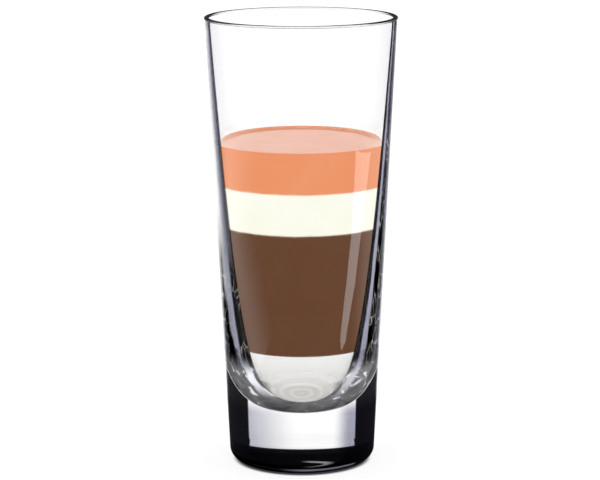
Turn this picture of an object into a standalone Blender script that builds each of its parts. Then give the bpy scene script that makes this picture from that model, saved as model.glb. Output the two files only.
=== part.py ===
"""A layered iced coffee in a tall, tapered glass with a heavy base.

The glass is one turned solid: a straight tapered outside, a rounded heel, a ring to
stand on, and a deep cavity that draws in to a round bottom. Four drinks lie on each
other in the cavity, each a turned solid of its own: a pale translucent layer at the
bottom, coffee, cream, and an orange layer on top.

Metres, +Z up. The origin is on the floor, on the axis of the glass.
"""

import math

import bpy

# The glass
HEIGHT = 0.150
FOOT_RADIUS = 0.0242  # of the outside taper, carried down to the floor
RIM_RADIUS = 0.0318  # of the outside taper, carried up to the rim
BASE_THICKNESS = 0.0186  # from the floor to the lowest point of the cavity
LIP_HALF_WIDTH = 0.0008  # of the bead at the rim, a little thicker than the wall below it
LIP_FLATNESS = 0.6  # height of the bead over its width
HEEL_RADIUS = 0.0042
RING_INNER_RADIUS = 0.0165  # of the flat ring that the glass stands on
PUNT_HEIGHT = 0.0010  # how far the middle of the underside is drawn up

# The cavity's outline is a straight taper times a factor that closes it at the bottom
CAVITY_RADIUS = 0.0236
CAVITY_TAPER = 0.069
CAVITY_ROUNDING = 0.039
CAVITY_FULLNESS = 0.26  # the power of that factor, where less is a flatter and fuller bottom

# The levels that the four drinks reach
PALE_TOP = 0.0400
COFFEE_TOP = 0.0811
CREAM_TOP = 0.0948
ORANGE_TOP = 0.1080
MENISCUS_RISE = 0.0007
MENISCUS_REACH = 0.0012  # how far from the wall the rise falls to about a third

GAP = 0.0003  # left between a drink and what it touches

# Resolution
SEGMENTS = 64
CAVITY_ROWS = 24
CAVITY_CROWDING = 3  # the rings of the cavity lie closer towards its bottom, by this power
BOTTOM_ROWS = 16
LIP_ROWS = 8
HEEL_ROWS = 5
ROW_STEP = 0.005  # between the rings on the side of a drink
MENISCUS_ROWS = 4
MENISCUS_SPAN = 4 * MENISCUS_REACH
MERGE_DISTANCE = 0.00001

# Base colour, roughness and alpha of each material
CLEAR_GLASS = ((0.93, 0.94, 0.97), 0.02, 0.3)
PALE_DRINK = ((0.82, 0.81, 0.77), 0.15, 0.7)
COFFEE = ((0.136, 0.060, 0.030), 0.2, 1.0)
CREAM = ((0.97, 0.98, 0.86), 0.25, 1.0)
ORANGE_DRINK = ((0.84, 0.31, 0.15), 0.25, 1.0)


def clear_scene():
    for obj in list(bpy.data.objects):
        bpy.data.objects.remove(obj, do_unlink=True)


def material(name, look):
    colour, roughness, alpha = look
    made = bpy.data.materials.new(name)
    made.use_nodes = True
    shader = made.node_tree.nodes["Principled BSDF"]
    shader.inputs["Base Color"].default_value = (*colour, 1.0)
    shader.inputs["Roughness"].default_value = roughness
    shader.inputs["Metallic"].default_value = 0.0
    shader.inputs["Alpha"].default_value = alpha
    return made


def outer_radius(z):
    """The outside of the glass, a straight taper."""
    return FOOT_RADIUS + (RIM_RADIUS - FOOT_RADIUS) * z / HEIGHT


def cavity_radius(z):
    """The inside of the glass, round at the bottom and then a long, slowly straightening taper."""
    rise = max(z - BASE_THICKNESS, 0.0)
    closing = (rise / (rise + CAVITY_ROUNDING)) ** CAVITY_FULLNESS
    return (CAVITY_RADIUS + CAVITY_TAPER * rise) * closing


def cavity_heights(high, rows):
    """Heights from the bottom of the cavity up, closest at the bottom."""
    depth = high - BASE_THICKNESS
    return [BASE_THICKNESS + depth * (k / rows) ** CAVITY_CROWDING for k in range(rows + 1)]


def arc(centre, radius, start, end, rows):
    """Points on an arc, from one angle to another, in degrees."""
    angles = [math.radians(start + (end - start) * k / rows) for k in range(rows + 1)]
    return [(centre[0] + radius * math.cos(a), centre[1] + radius * math.sin(a)) for a in angles]


def turned(name, profile, look, collection):
    """A solid turned about Z from a profile that starts and ends on the axis."""
    mesh = bpy.data.meshes.new(name)
    points = [(r, 0.0, z) for r, z in profile]
    mesh.from_pydata(points, [(k, k + 1) for k in range(len(points) - 1)], [])
    mesh.materials.append(look)
    obj = bpy.data.objects.new(name, mesh)
    collection.objects.link(obj)
    screw = obj.modifiers.new("Turn", "SCREW")
    screw.axis = "Z"
    screw.angle = math.tau
    screw.steps = SEGMENTS
    screw.render_steps = SEGMENTS
    screw.use_merge_vertices = True
    screw.merge_threshold = MERGE_DISTANCE
    screw.use_smooth_shade = True
    return obj


def glass_profile():
    """Up the cavity, over the lip, down the outside, round the heel and in under the base."""
    lip_height = HEIGHT - LIP_FLATNESS * LIP_HALF_WIDTH
    inside = [(cavity_radius(z), z) for z in cavity_heights(lip_height, CAVITY_ROWS)[:-1]]
    wall_middle = (outer_radius(lip_height) + cavity_radius(lip_height)) / 2
    half_wall = (outer_radius(lip_height) - cavity_radius(lip_height)) / 2
    below = math.degrees(math.acos(half_wall / LIP_HALF_WIDTH))
    bead = arc((wall_middle, 0.0), LIP_HALF_WIDTH, 180 + below, -below, LIP_ROWS)
    lip = [(r, lip_height + LIP_FLATNESS * z) for r, z in bead]
    heel_centre = (outer_radius(HEEL_RADIUS) - HEEL_RADIUS, HEEL_RADIUS)
    heel = arc(heel_centre, HEEL_RADIUS, 0, -90, HEEL_ROWS)
    punt_middle = (RING_INNER_RADIUS / 2, PUNT_HEIGHT * 0.75)
    underside = [(RING_INNER_RADIUS, 0.0), punt_middle, (0.0, PUNT_HEIGHT)]
    return inside + lip + heel + underside


def drink_side(low, high):
    """The side of a drink from one level to another, a gap inside the cavity."""
    rows = max(2, round((high - low) / ROW_STEP))
    heights = [low + (high - low) * k / rows for k in range(rows + 1)]
    return [(cavity_radius(z) - GAP, z) for z in heights]


def bottom_drink_profile(high):
    """A drink that fills the round bottom of the cavity, up to a flat top.

    Its side is the outline of the cavity moved inwards by the gap, square to the outline.
    """
    side = []
    for z in cavity_heights(high, BOTTOM_ROWS)[1:-1]:
        step = (z - BASE_THICKNESS) / 100
        slope = (cavity_radius(z + step) - cavity_radius(z - step)) / (2 * step)
        length = math.hypot(1, slope)
        side.append((cavity_radius(z) - GAP / length, z + GAP * slope / length))
    edge = (cavity_radius(high) - GAP, high)
    outline = [(0.0, BASE_THICKNESS + GAP)] + side + [edge, (0.0, high)]
    return outline[::-1]


def band_profile(low, high):
    """A drink with a flat top and bottom."""
    side = drink_side(low, high)
    return [(0.0, high)] + side[::-1] + [(0.0, low)]


def top_drink_profile(low, high):
    """The uppermost drink, whose free surface rises a little at the wall."""
    edge = cavity_radius(high) - GAP
    side = drink_side(low, high + MENISCUS_RISE)
    surface = []
    for k in range(MENISCUS_ROWS, 0, -1):
        inward = MENISCUS_SPAN * (k / MENISCUS_ROWS) ** 2
        surface.append((edge - inward, high + MENISCUS_RISE * math.exp(-inward / MENISCUS_REACH)))
    return [(0.0, high)] + surface + side[::-1] + [(0.0, low)]


def build():
    clear_scene()
    collection = bpy.data.collections.new("iced_coffee")
    bpy.context.scene.collection.children.link(collection)
    half_gap = GAP / 2
    turned("glass", glass_profile(), material("clear_glass", CLEAR_GLASS), collection)
    pale = bottom_drink_profile(PALE_TOP - half_gap)
    turned("pale_layer", pale, material("pale_drink", PALE_DRINK), collection)
    coffee = band_profile(PALE_TOP + half_gap, COFFEE_TOP - half_gap)
    turned("coffee_layer", coffee, material("coffee", COFFEE), collection)
    cream = band_profile(COFFEE_TOP + half_gap, CREAM_TOP - half_gap)
    turned("cream_layer", cream, material("cream", CREAM), collection)
    orange = top_drink_profile(CREAM_TOP + half_gap, ORANGE_TOP)
    turned("orange_layer", orange, material("orange_drink", ORANGE_DRINK), collection)


build()
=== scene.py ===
# %% [markdown]
# # A layered iced coffee in a tall glass
#
# The object is a heavy, tapered glass with four drinks that lie on each other: a pale,
# slightly cloudy one at the bottom, coffee, cream, and an orange one on top. All of it is
# turned round one axis, so most of the modelling is the drawing of half an outline.
#
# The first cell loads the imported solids. They fix every size, and the pieces that are made
# here take their place.

import math

import bpy
from mathutils import Matrix, Vector


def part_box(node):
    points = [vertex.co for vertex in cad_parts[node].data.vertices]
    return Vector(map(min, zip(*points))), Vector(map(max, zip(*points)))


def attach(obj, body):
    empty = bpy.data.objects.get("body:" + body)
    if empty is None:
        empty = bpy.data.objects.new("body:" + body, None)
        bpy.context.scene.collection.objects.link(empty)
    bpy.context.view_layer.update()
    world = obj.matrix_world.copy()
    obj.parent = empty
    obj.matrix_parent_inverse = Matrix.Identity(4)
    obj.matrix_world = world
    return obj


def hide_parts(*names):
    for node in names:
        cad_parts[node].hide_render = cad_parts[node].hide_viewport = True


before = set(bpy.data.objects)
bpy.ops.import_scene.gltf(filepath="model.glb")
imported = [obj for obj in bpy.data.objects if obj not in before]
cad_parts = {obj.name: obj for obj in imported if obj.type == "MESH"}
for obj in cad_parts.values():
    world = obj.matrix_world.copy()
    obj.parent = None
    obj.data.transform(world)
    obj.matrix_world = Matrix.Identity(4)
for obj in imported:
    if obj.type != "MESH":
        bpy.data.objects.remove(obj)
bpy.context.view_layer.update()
print("frame nodes:", ", ".join(sorted(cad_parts)))

# %% [markdown]
# ## The sizes
#
# The levels of the drinks and the height of the glass are read from the solids. The curves
# of the wall aren't in a box, so their few numbers stand here as they do in the construction:
# the outside is a straight taper, and the cavity is a taper times a factor that closes it.

# %% Sizes of the glass
MM = 1000
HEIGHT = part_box("glass")[1].z
FOOT_RADIUS = 0.0242  # of the outside taper, carried down to the floor
RIM_RADIUS = 0.0318  # of the outside taper, carried up to the rim
BASE_THICKNESS = 0.0186  # from the floor to the lowest point of the cavity
LIP_HALF_WIDTH = 0.0008  # of the bead at the rim
LIP_FLATNESS = 0.6  # height of the bead over its width
HEEL_RADIUS = 0.0042
RING_INNER_RADIUS = 0.0165  # of the flat ring that the glass stands on
PUNT_HEIGHT = 0.0010  # how far the middle of the underside is drawn up
CAVITY_RADIUS = 0.0236
CAVITY_TAPER = 0.069
CAVITY_ROUNDING = 0.039
CAVITY_FULLNESS = 0.26  # a power, where less is a fuller bottom
MENISCUS_RISE = 0.0007
MENISCUS_REACH = 0.0012  # how far from the wall the rise falls to about a third
BELOW_THE_RIM = 0.145


def outer_radius(z):
    """The outside of the glass."""
    return FOOT_RADIUS + (RIM_RADIUS - FOOT_RADIUS) * z / HEIGHT


def cavity_radius(z):
    """The inside of the glass."""
    rise = max(z - BASE_THICKNESS, 0.0)
    closing = (rise / (rise + CAVITY_ROUNDING)) ** CAVITY_FULLNESS
    return (CAVITY_RADIUS + CAVITY_TAPER * rise) * closing


wall = outer_radius(BELOW_THE_RIM) - cavity_radius(BELOW_THE_RIM)
print(f"wall below the rim: {MM * wall:.2f} mm")

# %% Levels of the drinks
STACK = ["pale_layer", "coffee_layer", "cream_layer", "orange_layer"]


def level_between(lower, upper):
    """Halfway between the top of one solid and the bottom of the next."""
    return (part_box(lower)[1].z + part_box(upper)[0].z) / 2


levels = [BASE_THICKNESS]
levels += [level_between(low, high) for low, high in zip(STACK, STACK[1:])]
levels += [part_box("orange_layer")[1].z - MENISCUS_RISE]
print("levels in mm:", [round(MM * z, 2) for z in levels])

# %% [markdown]
# ## The camera
#
# The photo looks down a little with a long lens. Its distance and tilt come from the two
# ellipses that it shows, the rim seen from 6 degrees above and the foot from 16.

# %% The camera
CAMERA_PLACE = (-0.0001, -0.8179, 0.2345)
CAMERA_TILT = math.radians(90 - 11.04)
CAMERA_LENS = 149.4
SENSOR_WIDTH = 36.0
VIEW_DEPTH = 30.0
CAMERA_ROLL = math.radians(0.15)  # the glass in the photo leans a little to the left

bpy.ops.object.camera_add(location=CAMERA_PLACE, rotation=(CAMERA_TILT, CAMERA_ROLL, 0))
camera = bpy.context.object
camera.name = "camera"
camera.data.lens = CAMERA_LENS
camera.data.sensor_width = SENSOR_WIDTH
camera.data.clip_end = VIEW_DEPTH
bpy.context.scene.camera = camera
print("camera at", CAMERA_PLACE, "with a lens of", CAMERA_LENS, "mm")

# %% [markdown]
# ## Tools for turned pieces
#
# A turned piece starts as one vertex. Each further point of its outline is an extruded edge,
# and Spin carries the outline round the axis. A lathe profile could also be a Screw
# modifier, but Spin leaves a finished mesh whose faces can be picked by their place.

# %% Tools for turned pieces
SEGMENTS = 256
MERGE_DISTANCE = 1e-6
STARTING_SIZE = 0.001  # of the plane that is merged into the first point
SMOOTH_BELOW = math.radians(40)


def deselect_all():
    bpy.ops.object.select_all(action="DESELECT")


def turn(name, outline):
    """Spins an outline of (radius, height) points, which starts and ends on the axis."""
    deselect_all()
    radius, height = outline[0]
    bpy.ops.mesh.primitive_plane_add(size=STARTING_SIZE, location=(radius, 0, height))
    bpy.ops.object.transform_apply(location=True, rotation=True, scale=True)
    piece = bpy.context.object
    piece.name = piece.data.name = name
    bpy.ops.object.mode_set(mode="EDIT")
    bpy.ops.mesh.select_all(action="SELECT")
    bpy.ops.mesh.merge(type="CENTER")
    here = Vector((radius, 0, height))
    for radius, height in outline[1:]:
        step = Vector((radius, 0, height)) - here
        bpy.ops.mesh.extrude_region_move(TRANSFORM_OT_translate={"value": step})
        here += step
    bpy.ops.mesh.select_all(action="SELECT")
    bpy.ops.mesh.spin(steps=SEGMENTS, angle=math.tau, center=(0, 0, 0), axis=(0, 0, 1))
    bpy.ops.mesh.select_all(action="SELECT")
    bpy.ops.mesh.remove_doubles(threshold=MERGE_DISTANCE)
    bpy.ops.mesh.normals_make_consistent(inside=False)
    bpy.ops.object.mode_set(mode="OBJECT")
    bpy.ops.object.shade_smooth_by_angle(angle=SMOOTH_BELOW)
    print(f"{name}: {len(outline)} points, {len(piece.data.polygons)} faces")
    return piece


def arc(centre, radius, start, end, rows):
    """Points on an arc, from one angle to another, in degrees."""
    angles = [math.radians(start + (end - start) * k / rows) for k in range(rows + 1)]
    return [(centre[0] + radius * math.cos(a), centre[1] + radius * math.sin(a)) for a in angles]


def spread(low, high, rows):
    """Heights from low to high, evenly spaced."""
    return [low + (high - low) * k / rows for k in range(rows + 1)]


# %% [markdown]
# ## The glass
#
# The real glass is pressed or blown in a mould: a thin wall at the rim that thickens all the
# way down, a thick clear base, a rounded heel, a flat ring to stand on and a slightly hollow
# underside. It could be a cylinder with a boolean cavity, but one closed outline gives clean
# rows that follow the curves, and refraction needs those. The rows crowd towards the bottom of
# the cavity, where the curve is tightest. One row lies exactly at the wet line and one right
# below the bead, so that the smooth shading doesn't smear either of them.

# %% The outline of the glass
CAVITY_ROWS = 90
CROWDING = 3  # the power by which rows crowd towards the bottom of the cavity
WALL_ROWS = 24
ARC_ROWS = 16
PUNT_ROWS = 12
ROW_CLEARANCE = 0.0004
BEAD_COLLAR = 0.0003  # of straight wall right below the bead

lip_height = HEIGHT - LIP_FLATNESS * LIP_HALF_WIDTH
depth = lip_height - BASE_THICKNESS
wet_height = levels[-1] + MENISCUS_RISE
inside = [BASE_THICKNESS + depth * (k / CAVITY_ROWS) ** CROWDING for k in range(CAVITY_ROWS)]
inside = sorted([z for z in inside if abs(z - wet_height) > ROW_CLEARANCE] + [wet_height])
wall_middle = (outer_radius(lip_height) + cavity_radius(lip_height)) / 2
half_wall = (outer_radius(lip_height) - cavity_radius(lip_height)) / 2
below = math.degrees(math.acos(half_wall / LIP_HALF_WIDTH))
bead = arc((wall_middle, 0.0), LIP_HALF_WIDTH, 180 + below, -below, ARC_ROWS)
lip = [(r, lip_height + LIP_FLATNESS * z) for r, z in bead]
collar = lip[0][1] - BEAD_COLLAR
outside = [collar] + spread(collar, HEEL_RADIUS, WALL_ROWS)[1:-1]
heel_centre = (outer_radius(HEEL_RADIUS) - HEEL_RADIUS, HEEL_RADIUS)
heel = arc(heel_centre, HEEL_RADIUS, 0, -90, ARC_ROWS)
punt = [(RING_INNER_RADIUS * (1 - k / PUNT_ROWS), k / PUNT_ROWS) for k in range(PUNT_ROWS + 1)]
underside = [(r, PUNT_HEIGHT * (1 - math.cos(math.pi * share)) / 2) for r, share in punt]

outline = [(cavity_radius(z), z) for z in inside + [collar]] + lip
outline += [(outer_radius(z), z) for z in outside] + heel + underside
tumbler = turn("tumbler", outline)

# %% [markdown]
# ## The drinks
#
# Each drink is a turned piece too. Its side lies a little inside the wall, so no air shows
# between the two. Each lower drink has a small lid that stands into the next one, so no two
# faces share a place.

# %% The drinks
WALL_REACH = 0.00015  # how far the side lies inside the wall
LID_RISE = 0.0001
LID_INSET = 0.0003
SIDE_STEP = 0.0015
PALE_ROWS = 48
SURFACE_ROWS = 14
SURFACE_CROWDING = 1.5
SURFACE_SPAN = 5 * MENISCUS_REACH


def side_of(low, high):
    """The side of a drink, from one level to another."""
    rows = max(2, round((high - low) / SIDE_STEP))
    return [(cavity_radius(z) + WALL_REACH, z) for z in spread(low, high, rows)]


def lid_of(high):
    """The edge of a flat top that stands into the next drink."""
    return [(0.0, high + LID_RISE), (cavity_radius(high) - LID_INSET, high + LID_RISE)]


def pale_outline(high):
    """The lowest drink, which fills the round bottom."""
    depth = high - BASE_THICKNESS
    shares = [(k / PALE_ROWS) ** CROWDING for k in range(1, PALE_ROWS + 1)]
    heights = [BASE_THICKNESS + depth * share for share in shares]
    side = [(cavity_radius(z) + WALL_REACH, z) for z in heights]
    return lid_of(high) + side[::-1] + [(0.0, BASE_THICKNESS - WALL_REACH)]


def band_outline(low, high):
    """A drink between two others."""
    return lid_of(high) + side_of(low, high)[::-1] + [(0.0, low)]


def top_outline(low, high):
    """The uppermost drink, whose surface creeps up at the wall."""
    edge = cavity_radius(high)
    shares = [(k / SURFACE_ROWS) ** SURFACE_CROWDING for k in range(SURFACE_ROWS, -1, -1)]
    inward = [SURFACE_SPAN * share for share in shares]
    surface = [(edge - r, high + MENISCUS_RISE * math.exp(-r / MENISCUS_REACH)) for r in inward]
    side = side_of(low, high + MENISCUS_RISE)
    return [(0.0, high)] + surface + side[::-1] + [(0.0, low)]


pale = turn("pale_drink", pale_outline(levels[1]))
coffee = turn("coffee_drink", band_outline(levels[1], levels[2]))
cream = turn("cream_drink", band_outline(levels[2], levels[3]))
orange = turn("orange_drink", top_outline(levels[3], levels[4]))

# %% [markdown]
# ## Tools for materials
#
# Every finish here is worked out from the place on the object, so nothing has to be unwrapped
# and no picture is used. The node trees are long sums, and a sum reads best as a sum: Signal
# wraps a socket and lets Python's signs add the Math nodes. Finish adds any other node, with
# its settings first and then the values or links of its sockets. steps() is the one used most,
# a soft border between two values, and fade() is the same from 1 down to 0.

# %% Tools for materials
class Signal:
    """A socket that Python's signs work on. Each sign adds one Math node."""

    def __init__(self, finish, socket):
        self.finish = finish
        self.socket = socket

    def sign(self, operation, first, second):
        return self.finish.math(operation, first, second)

    def __add__(self, other):
        return self.sign("ADD", self, other)

    def __radd__(self, other):
        return self.sign("ADD", other, self)

    def __sub__(self, other):
        return self.sign("SUBTRACT", self, other)

    def __rsub__(self, other):
        return self.sign("SUBTRACT", other, self)

    def __mul__(self, other):
        return self.sign("MULTIPLY", self, other)

    def __rmul__(self, other):
        return self.sign("MULTIPLY", other, self)

    def __truediv__(self, other):
        return self.sign("DIVIDE", self, other)

    def __rtruediv__(self, other):
        return self.sign("DIVIDE", other, self)

    def __pow__(self, other):
        return self.sign("POWER", self, other)


class Finish:
    """A node tree that is built one node at a time."""

    def __init__(self, owner):
        owner.use_nodes = True
        self.owner = owner
        self.tree = owner.node_tree
        self.tree.nodes.clear()

    def node(self, kind, settings=None, values=None, out=0):
        made = self.tree.nodes.new("ShaderNode" + kind)
        for name, value in (settings or {}).items():
            if name == "stops":
                set_stops(made.color_ramp, value)
            else:
                setattr(made, name, value)
        for name, value in (values or {}).items():
            if isinstance(value, Signal):
                self.tree.links.new(value.socket, made.inputs[name])
            else:
                made.inputs[name].default_value = value
        return Signal(self, made.outputs[out])

    def surface(self, shader):
        """Ends the tree with a shader, and gives the material or world back."""
        kind = "OutputWorld" if isinstance(self.owner, bpy.types.World) else "OutputMaterial"
        end = self.tree.nodes.new("ShaderNode" + kind)
        self.tree.links.new(shader.socket, end.inputs["Surface"])
        print(f"{self.owner.name}: {len(self.tree.nodes)} nodes")
        return self.owner

    def math(self, operation, *values):
        return self.node("Math", {"operation": operation}, dict(enumerate(values)))

    def bigger(self, first, second):
        return self.math("MAXIMUM", first, second)

    def mix(self, factor, first, second):
        """Between two shaders."""
        return self.node("MixShader", {}, {0: factor, 1: first, 2: second})

    def blend(self, factor, first, second):
        """Between two colours."""
        values = {0: factor, 6: first, 7: second}
        return self.node("Mix", {"data_type": "RGBA"}, values, out=2)

    def steps(self, value, low, high, start=0.0, end=1.0):
        """A soft step from start to end as value goes from low to high."""
        settings = {"interpolation_type": "SMOOTHSTEP"}
        values = {"Value": value, "From Min": low, "From Max": high, "To Min": start, "To Max": end}
        return self.node("MapRange", settings, values)

    def fade(self, value, low, high):
        """A soft step down from 1 to 0."""
        return self.steps(value, low, high, 1.0, 0.0)

    def place(self):
        """Where a point lies on the object."""
        return self.node("TexCoord", out="Object")

    def along(self, vector, axis):
        return self.node("SeparateXYZ", {}, {0: vector}, out=axis)

    def from_axis(self, place):
        """How far a point lies from the upright axis."""
        flat = self.node("VectorMath", {"operation": "MULTIPLY"}, {0: place, 1: (1, 1, 0)})
        return self.node("VectorMath", {"operation": "LENGTH"}, {0: flat}, out="Value")

    def stretched(self, place, upright):
        """A place that is scaled along Z, so that less than 1 draws a texture out upright."""
        return self.node("Mapping", {}, {"Vector": place, "Scale": (1.0, 1.0, upright)})

    def noise(self, place, scale, detail, distortion=0.0):
        values = {"Vector": place, "Scale": scale, "Detail": detail, "Distortion": distortion}
        return self.node("TexNoise", {}, values)

    def ray(self, question):
        """1 for the rays for which this output of Light Path holds."""
        return self.node("LightPath", out=question)

    def see_through(self, colour):
        return self.node("BsdfTransparent", {}, {"Color": colour})

    def body(self, colour, roughness, **more):
        """A Principled surface, with more sockets named with underscores."""
        values = {name.replace("_", " "): value for name, value in more.items()}
        values.update({"Base Color": colour, "Roughness": roughness})
        return self.node("BsdfPrincipled", {}, values)


def set_stops(ramp, stops):
    while len(ramp.elements) > 1:
        ramp.elements.remove(ramp.elements[-1])
    for k, (place, colour) in enumerate(stops):
        stop = ramp.elements[0] if k == 0 else ramp.elements.new(place)
        stop.position = place
        stop.color = (*colour, 1.0)


# %% [markdown]
# ## How glass shows its walls
#
# Clear glass has no colour of its own. What shows is bent light, and in a studio the bent view
# ends either on the white surroundings or on the dark ones beside the camera. That makes the
# dark lines along the walls, the lavender stripes beside them and the black blocks of the base.
# Refraction alone leaves the wall and the base nearly white here, with only thin dark lines at
# their edges, since a small scene lacks the dark flags of a real studio. So the glass has painted
# shade: parts of it let little light through. Layer Weight, on the wall's own normal, lays this
# painted shade out by how far the wall turns away, so it follows the outline of the glass on every
# side. From high above, where the whole wall turns away, it spreads over it. Another way is to
# build each flag around the object, but then every other view needs its own.
#
# Soft light and shadow rays pass the glass straight, since bent ones would give noise.

# %% Tools for glass
GLASS_IOR = 1.5
CLEAR = (1, 1, 1, 1)
SOFT_LIGHT = (0.95, 0.952, 0.96, 1)
# LAVENDER and BLACK are the painted shade that the glass is tinted with
LAVENDER = (0.35, 0.353, 0.44, 1)
BLACK = (0.002, 0.002, 0.004, 1)
RIPPLE_DEPTH = 0.0005
LEAST = 0.0001  # keeps a root above zero


def soft_light_of(finish):
    """1 for the rays that carry soft light and shadow, which pass the glass straight."""
    return finish.bigger(finish.ray("Is Shadow Ray"), finish.ray("Is Diffuse Ray"))


def ripples_of(finish, scale, upright, strength):
    """The slight waves that moulding leaves in a glass wall."""
    waves = finish.noise(finish.stretched(finish.place(), upright), scale, 1.0)
    values = {"Height": waves, "Strength": strength, "Distance": RIPPLE_DEPTH}
    return finish.node("Bump", {}, values)


def glass_of(finish, ripples, colour=CLEAR):
    values = {"Color": colour, "Roughness": 0.0, "IOR": GLASS_IOR, "Normal": ripples}
    return finish.node("BsdfGlass", {}, values)


def glass_surface(finish, shader):
    """The shader, with soft light let through."""
    return finish.surface(finish.mix(soft_light_of(finish), shader, finish.see_through(SOFT_LIGHT)))


def turning_of(finish, stretch=1.0, offset=0.0):
    """Where the wall itself turns away, from 0 where it faces the eye to 1 at its outline."""
    squareness = 1 - finish.node("LayerWeight", {}, {"Blend": 0.5}, out="Facing")
    squareness = squareness * stretch + offset
    return finish.bigger(1 - squareness * squareness, LEAST) ** 0.5


# %% [markdown]
# ## The dry inside
#
# Above the drink the inside of the wall is bare glass, with painted shade that makes it a little
# greyer where it turns away.

# %% The dry inside
DRY_MIDDLE = (0.990, 0.990, 0.992, 1)
# painted shade: the glass is greyer where the wall turns away
DRY_EDGE_SHADE = (0.92, 0.92, 0.935, 1)
DRY_TURNING = (0.70, 1.0)


def make_inner_glass():
    finish = Finish(bpy.data.materials.new("polished_glass"))
    ripples = ripples_of(finish, 40.0, 0.4, 0.05)
    edge = finish.steps(turning_of(finish), *DRY_TURNING)
    middle_glass, edge_shaded_glass = (glass_of(finish, ripples, c) for c in (DRY_MIDDLE, DRY_EDGE_SHADE))
    return glass_surface(finish, finish.mix(edge, middle_glass, edge_shaded_glass))


inner_glass = make_inner_glass()

# %% [markdown]
# ## The outside of the wall
#
# Across the wall, from the edge of the cavity to the outline of the glass, lie a dark line, a
# lavender stripe and, low down and all along the right, a dark band with fine bright glints. All
# are painted shade and painted glints of light. The share `straight` runs from 0 to 1 over that
# width, and `across` is the same with the slight waver of the glass. The left wall is softer in its
# upper half, where painted light fades it to white.

# %% Where across the wall
EDGE_SHIFT = 0.0023  # how much the leaning wall narrows what is seen of the cavity
LEAST_RISE = 0.0080  # below it, the cavity's curve is too round to draw along
WAVER = 0.12
LEVEL_STRETCH, STRETCH_LOSS = 1.0393, 0.24  # make up for the tilt of the view, less higher up
TAPER_TILT = 0.010  # how much of the wall's own lean shows in its turning
HEEL_TILT = 0.146


def turning_of_outside(finish, height):
    """Where the outside turns away. It is kept true to the upright wall on the round heel too."""
    tilt = finish.bigger(1 - height / HEEL_RADIUS, 0.0)
    level = finish.bigger(1 - tilt * tilt, 0.01) ** 0.5
    stretch = (LEVEL_STRETCH - height * STRETCH_LOSS) / level
    return turning_of(finish, stretch, TAPER_TILT - tilt / level * HEEL_TILT)


def shares_of_width(finish, height, outer, away, streaks):
    """How far across the wall a point shows, straight and with the waver of the glass."""
    rise = finish.bigger(height - BASE_THICKNESS, LEAST_RISE)
    closing = (rise / (rise + CAVITY_ROUNDING)) ** CAVITY_FULLNESS
    cavity = (rise * CAVITY_TAPER + CAVITY_RADIUS) * closing
    share = cavity / outer * (1 - EDGE_SHIFT / rise)
    straight = (away - share) / (1 - share)
    return straight, straight + (streaks - 0.5) * WAVER


# %% The drawing across the wall
LOW_WALL = (0.052, 0.063)  # the heights over which the sharp left band ends
LOWER_HALF = (0.065, 0.077)
LINE_START = (-0.005, 0.050)
LINE_END_LEFT, LINE_END_RIGHT = (0.36, 0.43), (0.23, 0.31)
SOFT_LINE_END = (0.16, 0.58, 0.90, 0.0)
BAND_WIDENING = (0.038, 0.050, 0.53, 0.64)  # where the left band starts, by height
BAND_RAMP = 0.07
BAND_END_LEFT = (0.80, 0.93)
BAND_START_RIGHT, BAND_END_RIGHT = (0.42, 0.50), (0.68, 0.88)
BAND_THINNING = (0.070, 0.140, 1.0, 0.80)
STRIPE_START, STRIPE_FADE, STRIPE_END = (0.10, 0.25), (0.45, 0.98), (0.80, 1.02)
# painted glints: the fine bright lines in the dark bands
GLINT_SCALE, GLINT_WIDTH, GLINT_PATCHES = 480.0, (0.00, 0.06), (0.48, 0.62)
GLINT_SIDES = (0.50, 0.66)  # shares of the radius to the side


def line_across(finish, straight, across, right, lower_half):
    """The painted shade of the dark line at the edge of the cavity: sharp on the right and low,
    soft above.
    """
    sharp = finish.bigger(right, lower_half)
    sharp_end = finish.fade(across, *LINE_END_LEFT) * (1 - right)
    sharp_end = sharp_end + finish.fade(across, *LINE_END_RIGHT) * right
    soft_end = finish.steps(across, *SOFT_LINE_END)
    return finish.steps(straight, *LINE_START) * (soft_end + (sharp_end - soft_end) * sharp)


def band_across(finish, height, across, right, low):
    """The painted shade of the outer dark band: only low down on the left, and all the way up on
    the right.
    """
    start = finish.steps(height, *BAND_WIDENING)
    left = finish.steps(across, start, start + BAND_RAMP) * finish.fade(across, *BAND_END_LEFT)
    left = left * low
    on_right = finish.steps(across, *BAND_START_RIGHT) * finish.fade(across, *BAND_END_RIGHT)
    on_right = on_right * finish.steps(height, *BAND_THINNING)
    return left + (on_right - left) * right


def stripe_across(finish, across, right, low):
    """The lavender stripe, painted shade. High on the left it fades towards the outline."""
    fading, edge = finish.fade(across, *STRIPE_FADE), finish.fade(across, *STRIPE_END)
    edge = fading + (edge - fading) * finish.bigger(low, right)
    return finish.steps(across, *STRIPE_START) * edge


def painted_glints_of(finish, place, side, outer):
    """Painted glints: fine bright lines between cells, in patches, where the wall is to the side.
    """
    glint_place = finish.stretched(place, 0.40)
    values = {"Vector": glint_place, "Scale": GLINT_SCALE, "Randomness": 1.0}
    cells = finish.node("TexVoronoi", {"feature": "DISTANCE_TO_EDGE"}, values)
    patches = finish.noise(glint_place, 260.0, 1.0)
    painted_glints = finish.fade(cells, *GLINT_WIDTH) * finish.steps(patches, *GLINT_PATCHES)
    return painted_glints * finish.steps(finish.math("ABSOLUTE", side) / outer, *GLINT_SIDES)


# %% [markdown]
# ## The base, and the outside put together
#
# Below the wall lie the black blocks on either side of the base, the tint of the window between
# them, and the dark heel, all painted shade. The blocks are drawn where light leaves the glass
# after it came in through one surface, so that they don't show through the pale drink.

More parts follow.
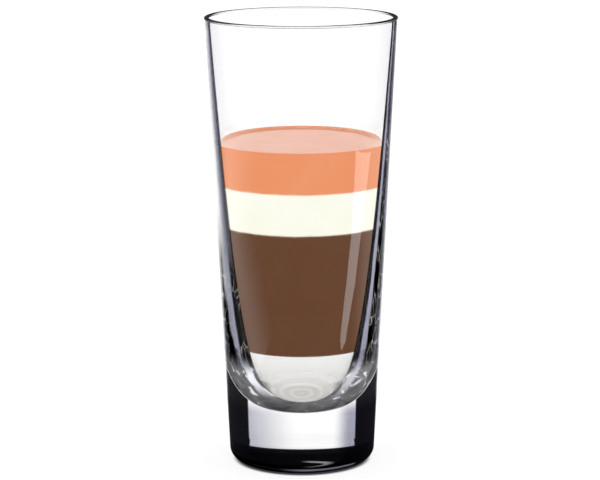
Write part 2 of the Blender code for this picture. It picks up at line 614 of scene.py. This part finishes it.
# %% The drawing of the base
BLOCK_START, BLOCK_END = (0.388, 0.406), (0.614, 0.620)
BLOCK_TOP = (0.030, 0.038)
ONE_CROSSING = (1.4, 1.6)
HEEL_TOP, HEEL_BOTTOM = (0.0030, 0.0042), (0.0008, 0.0016)
HEEL_FRONT, HEEL_FRONT_SIDE = (-0.010, -0.006), (-0.006, 0.004, 1.0, 0.4)
HEEL_SHADE_SIDE = (-0.008, 0.002, 1.0, 0.62)
WINDOW_LEFT, WINDOW_RIGHT = (0.0, 0.80, 0.0, 0.8), (0.42, 0.66)


def blocks_of(finish, height, away, leaving):
    """The painted shade of the black blocks beside the window of the base."""
    block = finish.steps(away, *BLOCK_START) * finish.fade(away, *BLOCK_END)
    only_glass = finish.fade(finish.ray("Transmission Depth"), *ONE_CROSSING)
    return block * leaving * only_glass * finish.fade(height, *BLOCK_TOP)


def heel_of(finish, place, height, side, entering, leaving):
    """The painted shade of the heel, dark seen through the glass and on its front."""
    front = finish.fade(finish.along(place, "Y"), *HEEL_FRONT)
    front = front * finish.steps(side, *HEEL_FRONT_SIDE)
    front = finish.fade(height, *HEEL_TOP) * front
    through = leaving * finish.bigger(finish.fade(height, *HEEL_BOTTOM), front)
    shade = entering * finish.fade(height, *HEEL_TOP)
    return finish.bigger(through, shade * finish.steps(side, *HEEL_SHADE_SIDE))


# %% The outside
RIGHT = (-0.008, 0.008)  # the sides of the axis between which left turns into right
WALL_BOTTOM, BASE_TOP = (0.033, 0.0395), (0.020, 0.026)
FADE_START = (0.090, 0.140, 0.38, 0.62)
FADE_REACH, FADE_HEIGHTS = 0.5, (0.060, 0.092)
GLINT_COLOUR = (0.58, 0.55, 0.47, 1)
LINE_DEPTH, BLACK_DEPTH, GLINT_DEPTH, PALE_DEPTH = 0.97, 0.992, 0.6, 0.85
STREAK_STRETCH, STREAK_SCALE = 0.12, 380.0
MOTTLE = (0.20, 0.50, 0.93, 1.0)  # how the streaks lighten the dark bands a little
GLINTS_ON_LINE = 0.5


def make_outer_glass():
    finish = Finish(bpy.data.materials.new("outer_glass"))
    place = finish.place()
    height, side = finish.along(place, "Z"), finish.along(place, "X")
    right = finish.steps(side, *RIGHT)
    low, lower_half = finish.fade(height, *LOW_WALL), finish.fade(height, *LOWER_HALF)
    leaving = finish.node("NewGeometry", out="Backfacing")
    entering = 1 - leaving
    away = turning_of_outside(finish, height)
    outer = height * ((RIM_RADIUS - FOOT_RADIUS) / HEIGHT) + FOOT_RADIUS
    streaks = finish.noise(finish.stretched(place, STREAK_STRETCH), STREAK_SCALE, 2.0)
    straight, across = shares_of_width(finish, height, outer, away, streaks)

    line = line_across(finish, straight, across, right, lower_half)
    band = band_across(finish, height, across, right, low)
    stripe = stripe_across(finish, across, right, low)
    mottle = finish.steps(streaks, *MOTTLE)
    dark = finish.bigger(line * LINE_DEPTH, band * mottle)
    wall = entering * finish.steps(height, *WALL_BOTTOM)
    base = entering * finish.fade(height, *BASE_TOP)
    # painted shade: the window of the base is tinted lavender towards its sides
    window = finish.steps(away, *WINDOW_LEFT) * (1 - right)
    window = window + finish.steps(away, *WINDOW_RIGHT) * right
    black_parts = finish.bigger(blocks_of(finish, height, away, leaving),
                                heel_of(finish, place, height, side, entering, leaving))

    ripples = ripples_of(finish, 120.0, 0.15, 0.10)
    clear_glass, lavender_glass = (glass_of(finish, ripples, c) for c in (CLEAR, LAVENDER))
    shaded = finish.mix(stripe * wall + window * base, clear_glass, lavender_glass)
    # painted light: towards its outline the upper left wall turns see-through, so it shows white
    start = finish.steps(height, *FADE_START)
    pale_edge = finish.steps(straight, start, start + FADE_REACH, 0.0, PALE_DEPTH) * (1 - right)
    pale_edge = pale_edge * finish.steps(height, *FADE_HEIGHTS)
    shaded = finish.mix(pale_edge, shaded, finish.see_through(CLEAR))
    # painted shade: darkness turns the glass black along the line, the band, the blocks and the
    # heel
    darkness = finish.bigger(dark * wall, black_parts * BLACK_DEPTH)
    shaded = finish.mix(darkness, shaded, finish.see_through(BLACK))
    # painted glints: a pale diffuse surface shows fine bright lines in the dark bands
    glint_area = finish.bigger(band, line * lower_half * (1 - right) * GLINTS_ON_LINE) * wall
    painted_glints = painted_glints_of(finish, place, side, outer) * glint_area * GLINT_DEPTH
    sparkle = finish.node("BsdfDiffuse", {}, {"Color": GLINT_COLOUR})
    return glass_surface(finish, finish.mix(painted_glints, shaded, sparkle))


outer_glass = make_outer_glass()

# %% [markdown]
# ## The foot, the lip and the wetted inside
#
# The underside is dark, painted shade since the table below gets no light, apart from a faint
# painted highlight. The bead of the lip is dark where it turns away, which is most of it at the two
# ends of the ellipse, and a thin dark line runs round its top, both painted shade. Where the drink
# wets the inside, glass meets liquid and almost nothing bends, so that part is left clear and the
# drink behind it does the work.

# %% The foot, the lip and the wetted inside
FOOT_GLINT_COLOUR = (0.8, 0.8, 0.85, 1)
FOOT_GLINT_SLANT = 0.25
FOOT_GLINT_FRONT, FOOT_GLINT_BACK = (-0.0024, -0.0010), (0.0004, 0.0018)
FOOT_GLINT_LEFT, FOOT_GLINT_RIGHT = (-0.0005, 0.0025), (0.0050, 0.0080)
UNDERSIDE_DEPTH, FOOT_GLINT_STRENGTH = 0.97, 0.35
LIP_ENDS = (0.90, 1.0)
TOP_LINE = (HEIGHT - 0.0003, HEIGHT - 0.0001)
TOP_LINE_SHARE, LIP_DEPTH = 0.72, 0.96


def make_foot_glass():
    finish = Finish(bpy.data.materials.new("foot_glass"))
    leaving = finish.node("NewGeometry", out="Backfacing")
    place = finish.place()
    side = finish.along(place, "X")
    # painted highlight: a light streak on the underside, shown as a pale diffuse patch
    slanted = finish.along(place, "Y") + side * FOOT_GLINT_SLANT
    foot_glint = finish.steps(slanted, *FOOT_GLINT_FRONT) * finish.fade(slanted, *FOOT_GLINT_BACK)
    foot_glint = foot_glint * finish.steps(side, *FOOT_GLINT_LEFT) * finish.fade(side, *FOOT_GLINT_RIGHT)
    ripples = ripples_of(finish, 300.0, 1.0, 0.3)
    black = finish.see_through(BLACK)
    shaded = finish.mix(leaving * UNDERSIDE_DEPTH, glass_of(finish, ripples), black)
    foot_glint_shader = finish.node("BsdfDiffuse", {}, {"Color": FOOT_GLINT_COLOUR})
    return glass_surface(finish, finish.mix(foot_glint * leaving * FOOT_GLINT_STRENGTH, shaded, foot_glint_shader))


def make_lip_glass():
    finish = Finish(bpy.data.materials.new("lip_glass"))
    # painted shade: the bead goes black where it turns away, with a thin dark line round its top
    ends = finish.steps(turning_of(finish), *LIP_ENDS)
    top_line = finish.steps(finish.along(finish.place(), "Z"), *TOP_LINE)
    dark = finish.bigger(ends, top_line * TOP_LINE_SHARE) * LIP_DEPTH
    ripples = ripples_of(finish, 80.0, 1.0, 0.1)
    black = finish.see_through(BLACK)
    return glass_surface(finish, finish.mix(dark, glass_of(finish, ripples), black))


def make_wetted_glass():
    finish = Finish(bpy.data.materials.new("wetted_glass"))
    return finish.surface(finish.see_through(CLEAR))


foot_glass, lip_glass, wetted_glass = make_foot_glass(), make_lip_glass(), make_wetted_glass()

# %% Give the glass its materials
FACE_MARGIN = 0.0003  # of the radius, when faces are sorted by their place
FOOT_TOP, FOOT_MARGIN = 0.003, 0.0002

PARTS = (inner_glass, wetted_glass, outer_glass, foot_glass, lip_glass)
INNER, WETTED, OUTER, FOOT, LIP = range(len(PARTS))
for part in PARTS:
    tumbler.data.materials.append(part)
lip_radius, lip_bottom = lip[0]
for face in tumbler.data.polygons:
    x, y, z = face.center
    from_axis = math.hypot(x, y)
    if z > lip_bottom and from_axis > lip_radius - FACE_MARGIN:
        face.material_index = LIP
    elif z < FOOT_TOP and from_axis < heel_centre[0] + FOOT_MARGIN:
        face.material_index = FOOT
    elif from_axis > outer_radius(z) - FACE_MARGIN or z < HEEL_RADIUS:
        face.material_index = OUTER
    elif z < wet_height:
        face.material_index = WETTED
    else:
        face.material_index = INNER
used = [face.material_index for face in tumbler.data.polygons]
counts = [used.count(k) for k in range(len(PARTS))]
print("faces of the dry inside, wetted inside, outside, foot and lip:", counts)


# %% [markdown]
# ## The opaque drinks
#
# Coffee, cream and the orange drink let hardly any light through, so each is a coloured body
# with faint clouds, seen through the glass. Where two of them meet they mix a little. Seen at
# a shallow angle through the wall, the border between glass and drink turns into a mirror. The
# Fresnel node gives that mirror at the right angle, and it draws the inner edge of the wall.

# %% Tools for drinks
AIR_AGAINST_GLASS = 1 / GLASS_IOR
TRACE = 0.0005  # the height over which two drinks mix
TRACE_SHARE = 0.6
UNEVENNESS, WISP_SCALE = 0.0010, 220.0
CLOUD_SCALE, SURFACE_CLOUD_SCALE, CLOUD_RANGE = 45.0, 60.0, (0.35, 0.70)
MIRROR_RANGE = (0.5, 1.0)
LIQUID_ROUGHNESS = 0.25


def clouds_of(finish, colour, other, scale):
    """A colour with faint, wide clouds of another one in it."""
    clouds = finish.noise(finish.place(), scale, 4.0, 1.2)
    return finish.blend(finish.steps(clouds, *CLOUD_RANGE), (*colour, 1), (*other, 1))


def make_drink(name, colour, other, low, high, below, above):
    """An opaque drink between two levels, with a thin, uneven trace of its neighbours."""
    finish = Finish(bpy.data.materials.new(name))
    place = finish.place()
    wisps = finish.noise(place, WISP_SCALE, 4.0)
    uneven = finish.along(place, "Z") + (wisps - 0.5) * UNEVENNESS
    body = clouds_of(finish, colour, other, CLOUD_SCALE)
    from_below = finish.steps(uneven, low, low + TRACE, TRACE_SHARE, 0.0)
    from_above = finish.steps(uneven, high - TRACE, high, 0.0, TRACE_SHARE)
    body = finish.blend(from_below, body, (*below, 1))
    body = finish.blend(from_above, body, (*above, 1))
    liquid = finish.body(body, LIQUID_ROUGHNESS, Specular_IOR_Level=0.0)
    mirror = finish.node("BsdfGlossy", {}, {"Color": CLEAR, "Roughness": 0.0})
    edge = finish.node("Fresnel", {}, {"IOR": AIR_AGAINST_GLASS})
    return finish.surface(finish.mix(finish.steps(edge, *MIRROR_RANGE), liquid, mirror))


# %% [markdown]
# ## The free surface
#
# The top drink ends in a level surface that creeps up at the wall, with fine bubbles near it.
# The bubbles are cells of a Voronoi texture that also raise a bump. As meshes they would be
# hundreds of specks that hardly show from here.

# %% The free surface
BUBBLE_SCALE = 900.0
BUBBLE_SIZE = (0.28, 0.42)
BUBBLE_COLOUR = (0.95, 0.75, 0.60, 1)
BUBBLE_HEIGHT = 0.0003
BUBBLE_SHARE = 0.5
SURFACE_ROUGHNESS = 0.04
BUBBLE_REACH = (0.0040, 0.0006)  # how far from the wall they start and are all there
DRINK_IOR = 1.34


def make_surface(name, colour, other):
    """The free surface of the top drink, with fine bubbles near the wall."""
    finish = Finish(bpy.data.materials.new(name))
    place = finish.place()
    values = {"Vector": place, "Scale": BUBBLE_SCALE}
    cells = finish.node("TexVoronoi", {"feature": "F1"}, values)
    rim = cavity_radius(levels[-1])
    near_wall = finish.steps(finish.from_axis(place), *(rim - reach for reach in BUBBLE_REACH))
    bubbles = finish.fade(cells, *BUBBLE_SIZE) * near_wall
    clouds = clouds_of(finish, colour, other, SURFACE_CLOUD_SCALE)
    body = finish.blend(bubbles * BUBBLE_SHARE, clouds, BUBBLE_COLOUR)
    values = {"Height": bubbles, "Strength": 0.5, "Distance": BUBBLE_HEIGHT}
    bump = finish.node("Bump", {}, values)
    return finish.surface(finish.body(body, SURFACE_ROUGHNESS, IOR=DRINK_IOR, Normal=bump))


# %% [markdown]
# ## The pale drink
#
# The bottom drink is thin milk: light passes it, and a faint haze stays. In front its body is
# clear with a fifth of milk. At the bottom it is painted lighter and glows a little, with faint
# painted rings for the bent view of the round bottom of the glass. Beyond the mirror angle the real
# round bottom throws back the grey surroundings, which makes the grey bowl round the pale middle.
# Here the bowl is a painted reflection: a grey with noise for its few painted glints, shown past
# that angle, with a painted bright stripe at each side.

# %% The body of the pale drink
MILK = (0.74, 0.73, 0.70, 1)
# painted light: the lighter colours of the bottom, in faint painted rings
PAINTED_RING_DARK, PAINTED_RING_LIGHT = (0.84, 0.83, 0.79, 1), (1.0, 0.99, 0.955, 1)
MILK_SHARE, PAINTED_BOTTOM_SHARE = 0.20, 0.80
PAINTED_BOTTOM_TOP = (0.0200, 0.0245)
PAINTED_BOTTOM_GLOW = 0.26  # stands for light that scatters in from the sides
RINGS_PER_METRE = 1500.0  # in radians


def cloudy_body(finish, place, height, leaving):
    """Clear with a little milk, and painted lighter at the bottom, with painted light and faint
    painted rings.
    """
    values = {"Color": CLEAR, "Roughness": 0.0, "IOR": AIR_AGAINST_GLASS}
    clear = finish.node("BsdfGlass", {}, values)
    swirls = finish.noise(place, 70.0, 1.0)
    waves = finish.math("SINE", finish.from_axis(place) * RINGS_PER_METRE + swirls * 5.0)
    painted_rings = finish.blend(finish.steps(waves, -0.2, 0.9), PAINTED_RING_DARK, PAINTED_RING_LIGHT)
    painted_bottom = finish.body(painted_rings, 0.3, Emission_Color=painted_rings, Emission_Strength=PAINTED_BOTTOM_GLOW)
    bottom = leaving * finish.fade(height, *PAINTED_BOTTOM_TOP)
    cloudy = finish.mix(MILK_SHARE, clear, finish.body(MILK, 0.3))
    return finish.mix(bottom * PAINTED_BOTTOM_SHARE, cloudy, painted_bottom)


# %% The bowl round the pale drink
# painted highlight: the bright stripes of the bowl, which glow a little; BOWL_TONES are its painted
# reflection
BOWL_HIGHLIGHT = (0.78, 0.78, 0.84, 1)
BOWL_HIGHLIGHT_GLOW = 0.2
BOWL_TONES = [(0.34, (0.085, 0.085, 0.088)), (0.50, (0.16, 0.16, 0.165)),
              (0.60, (0.19, 0.19, 0.20)), (0.66, (0.85, 0.85, 0.86))]
INNER_STRIPE_START, INNER_STRIPE_END = (0.27, 0.30), (0.35, 0.39)
INNER_STRIPE_BOTTOM, INNER_STRIPE_SIDE = (0.0235, 0.0300), (-0.005, 0.005, 1.0, 0.6)
OUTER_STRIPE_START = (0.80, 0.90)
SHADOW_LIGHT = (0.9, 0.9, 0.9, 1)


def bowl_of(finish, place, height):
    """The grey bowl, a painted reflection with painted glints, and a painted bright stripe at each
    side that glows.
    """
    glints = finish.noise(finish.stretched(place, 1.6), 130.0, 2.0, 1.0)
    tones = finish.node("ValToRGB", {"stops": BOWL_TONES}, {"Fac": glints})
    grazing = finish.node("LayerWeight", {}, {"Blend": 0.5}, out="Facing") + (glints - 0.5) * 0.16
    inner = finish.steps(grazing, *INNER_STRIPE_START) * finish.fade(grazing, *INNER_STRIPE_END)
    inner = inner * finish.steps(height, *INNER_STRIPE_BOTTOM)
    inner = inner * finish.steps(finish.along(place, "X"), *INNER_STRIPE_SIDE)
    stripes = finish.bigger(inner, finish.steps(grazing, *OUTER_STRIPE_START))
    bright = finish.body(BOWL_HIGHLIGHT, 0.2, Emission_Color=BOWL_HIGHLIGHT, Emission_Strength=BOWL_HIGHLIGHT_GLOW)
    return finish.mix(stripes, finish.body(tones, 0.2), bright)


# %% The pale drink
def make_pale():
    finish = Finish(bpy.data.materials.new("pale_drink"))
    place = finish.place()
    height = finish.along(place, "Z")
    leaving = finish.node("NewGeometry", out="Backfacing")
    cloudy = cloudy_body(finish, place, height, leaving)
    bowl = bowl_of(finish, place, height)
    mirror = finish.node("Fresnel", {}, {"IOR": AIR_AGAINST_GLASS})
    edge = finish.steps(mirror, 0.6, 1.0) * (1 - leaving)
    seen = finish.mix(edge, cloudy, bowl)
    return finish.surface(finish.mix(soft_light_of(finish), seen, finish.see_through(SHADOW_LIGHT)))


pale_drink = make_pale()

# %% Give the drinks their materials
COFFEE = (0.1223, 0.0531, 0.0259)
CREAM = (0.926, 0.929, 0.806)
ORANGE = (0.794, 0.285, 0.132)
COFFEE_CLOUDS, COFFEE_OVER_PALE, COFFEE_UNDER_CREAM = (
    (0.130, 0.058, 0.029), (0.30, 0.22, 0.17), (0.40, 0.30, 0.22))
CREAM_CLOUDS, CREAM_OVER_COFFEE, CREAM_UNDER_ORANGE = (
    (0.905, 0.905, 0.775), (0.55, 0.45, 0.35), (0.93, 0.75, 0.60))
ORANGE_CLOUDS, ORANGE_OVER_CREAM, SURFACE_CLOUDS = (
    (0.81, 0.30, 0.145), (0.88, 0.60, 0.45), (0.83, 0.34, 0.18))
ABOVE_ALL = levels[4] + 0.01  # no drink mixes in from above the surface
FACES_UP = 0.2

for piece, made in (
    (pale, pale_drink),
    (coffee, make_drink("coffee", COFFEE, COFFEE_CLOUDS, levels[1], levels[2],
                        COFFEE_OVER_PALE, COFFEE_UNDER_CREAM)),
    (cream, make_drink("cream", CREAM, CREAM_CLOUDS, levels[2], levels[3],
                       CREAM_OVER_COFFEE, CREAM_UNDER_ORANGE)),
    (orange, make_drink("orange_drink", ORANGE, ORANGE_CLOUDS, levels[3], ABOVE_ALL,
                        ORANGE_OVER_CREAM, ORANGE)),
    (orange, make_surface("orange_surface", ORANGE, SURFACE_CLOUDS)),
):
    piece.data.materials.append(made)
for face in orange.data.polygons:
    if face.normal.z > FACES_UP:
        face.material_index = 1
print("drinks:", ", ".join(piece.name for piece in (pale, coffee, cream, orange)))

# %% [markdown]
# ## The floor
#
# The floor is plain and nearly white. Two parts are dark: what lies right under the foot, which
# no light reaches, and, only in reflections, the part beside and before the glass, as if dark
# cards lay there. Real flags would hide the floor from the camera as well.

# %% Floor
FLOOR_SIZE = 12
FLOOR_DROP = 0.0002  # below the foot, so that the two don't share a place
WHITE = (0.93, 0.93, 0.93, 1)
DARK = (0.05, 0.05, 0.06, 1)
WEDGE, WEDGE_EDGE = 1.4, (-0.02, 0.05)  # of white floor behind the glass, in reflections
UNDER_GLASS = (0.0215, 0.0238)

deselect_all()
bpy.ops.mesh.primitive_plane_add(size=FLOOR_SIZE, location=(0, 0, 0))
floor = bpy.context.object
floor.name = "floor"
floor.data.transform(Matrix.Translation((0, 0, -FLOOR_DROP)))
finish = Finish(bpy.data.materials.new("floor"))
place = finish.place()
mirrored = finish.ray("Is Reflection Ray") * (1 - finish.ray("Is Diffuse Ray"))
to_the_side = finish.math("ABSOLUTE", finish.along(place, "X"))
flagged = finish.fade(finish.along(place, "Y") - to_the_side * WEDGE, *WEDGE_EDGE)
under_glass = finish.fade(finish.from_axis(place), *UNDER_GLASS)
white, dark = (finish.node("BsdfDiffuse", {}, {"Color": colour}) for colour in (WHITE, DARK))
darkness = finish.bigger(mirrored * flagged, under_glass)
floor.data.materials.append(finish.surface(finish.mix(darkness, white, dark)))

# %% [markdown]
# ## The surroundings
#
# A photo on white has white paper behind and below the object, and a darker room above. The
# world is white up to a low height and dark over it. Diffuse surfaces get one even light.

# %% World
HORIZON = (0.18, 0.24, 1.0, 0.02)  # the world goes from white to nearly dark over these heights
SOFT_STRENGTH = 1.22

world = bpy.data.worlds.new("studio")
bpy.context.scene.world = world
finish = Finish(world)
up = finish.along(finish.node("TexCoord", out="Generated"), "Z")
diffuse = finish.ray("Is Diffuse Ray")
strength = finish.steps(up, *HORIZON) * (1 - diffuse) + diffuse * SOFT_STRENGTH
finish.surface(finish.node("Background", {}, {"Color": CLEAR, "Strength": strength}))
world.cycles.sampling_method = "NONE"

# %% [markdown]
# ## The lights
#
# The wall mirrors a narrow bright strip on the right and a soft panel on either side. They are
# glowing cards that are seen only in reflections. Lamps would give the same highlights, but a
# card can have the slanted outline that the strip has in the photo.

# %% Lights
BEND_HEIGHT = 0.052  # below it, a leaning card's fade runs slanted
HIDDEN_FROM = ("camera", "diffuse", "transmission", "shadow")


def card(name, corners, strength, soft=None, lean=0.0):
    """A glowing card that only shows as a reflection. soft gives where it fades along y."""
    deselect_all()
    bpy.ops.mesh.primitive_circle_add(vertices=len(corners), radius=0.01, fill_type="NGON")
    made = bpy.context.object
    made.name = made.data.name = name
    for vertex, corner in zip(made.data.vertices, corners):
        vertex.co = corner
    finish = Finish(bpy.data.materials.new(name))
    glow = finish.node("Emission", {}, {"Color": CLEAR, "Strength": strength})
    if soft:
        place = finish.place()
        below_bend = finish.math("MINIMUM", finish.along(place, "Z") - BEND_HEIGHT, 0.0)
        along = finish.along(place, "Y") - below_bend * lean
        start, end = soft
        shown = finish.steps(along, *start) * finish.fade(along, *end)
        glow = finish.mix(shown, finish.see_through(CLEAR), glow)
    made.data.materials.append(finish.surface(glow))
    for kind in HIDDEN_FROM:
        setattr(made, "visible_" + kind, False)
    print(f"{name}: {len(corners)} corners, strength {strength}")


STRIP_X, PANEL_X = 0.105, 0.112
STRIP = [(-0.0765, 0.0065), (-0.0609, 0.0125), (-0.0344, 0.0385), (-0.0220, 0.0580),
         (-0.0025, 0.0890), (-0.0480, 0.0870), (-0.0519, 0.0570), (-0.0637, 0.0370),
         (-0.0797, 0.0115)]
PANEL = [(-0.2, 0.0), (0.2, 0.0), (0.2, 0.095), (-0.2, 0.095)]
LEFT_FADE = ((-0.075, 0.010), (0.005, 0.060))
RIGHT_FADE = ((-0.050, 0.005), (0.080, 0.160))
card("strip_card", [(STRIP_X, y, z) for y, z in STRIP], 3.4)
card("left_panel", [(-PANEL_X, y, z) for y, z in PANEL], 1.2, LEFT_FADE, lean=1.2)
card("right_panel", [(PANEL_X, y, z) for y, z in PANEL], 0.85, RIGHT_FADE)

# %% [markdown]
# ## The last cell
#
# Each piece rides on the root and takes the place of its solid.

# %% Ride, replace, finish
for piece, node, slot in (
    (tumbler, "glass", "clear_glass"),
    (pale, "pale_layer", "pale_drink"),
    (coffee, "coffee_layer", "coffee"),
    (cream, "cream_layer", "cream"),
    (orange, "orange_layer", "orange_drink"),
):
    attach(piece, "root")
    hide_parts(node)

scene = bpy.context.scene
scene.view_settings.view_transform = "Standard"
scene.cycles.max_bounces = 32
scene.cycles.glossy_bounces = 16
scene.cycles.transmission_bounces = 24
scene.cycles.transparent_max_bounces = 24
